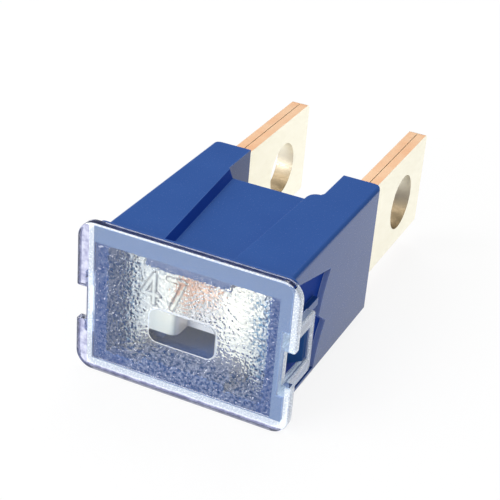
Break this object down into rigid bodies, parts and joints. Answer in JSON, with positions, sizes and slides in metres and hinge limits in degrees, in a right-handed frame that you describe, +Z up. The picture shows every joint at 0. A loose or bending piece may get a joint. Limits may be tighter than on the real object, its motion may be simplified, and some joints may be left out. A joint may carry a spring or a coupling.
{
  "type": "bolt-in blade fuse",
  "caption": "Slow automotive fuse link with a blue housing, a clear clip-on cover and two parallel blades with bolt holes.",
  "frame": {"origin": "centre of the bounding box in plan, at the height of the cover's bottom edge", "axes": "+Y from the cover towards the tips of the blades, +Z up across the blades' height, +X to the right seen from the cover"},
  "size_m": [0.024, 0.045, 0.017],
  "materials": {
    "housing_blue": "moulded blue thermoplastic with a soft gloss",
    "cover_clear": "clear moulded plastic, pebbled on the front field and smooth at the pane and rims",
    "plated_copper": "tin-plated copper alloy with bare copper on the cut edges",
    "tin": "dull tin"
  },
  "bodies": {
    "root": {"housing": "housing_blue", "cover": "cover_clear", "fuse_element": "plated_copper", "tin_pellet": "tin"}
  },
  "joints": []
}
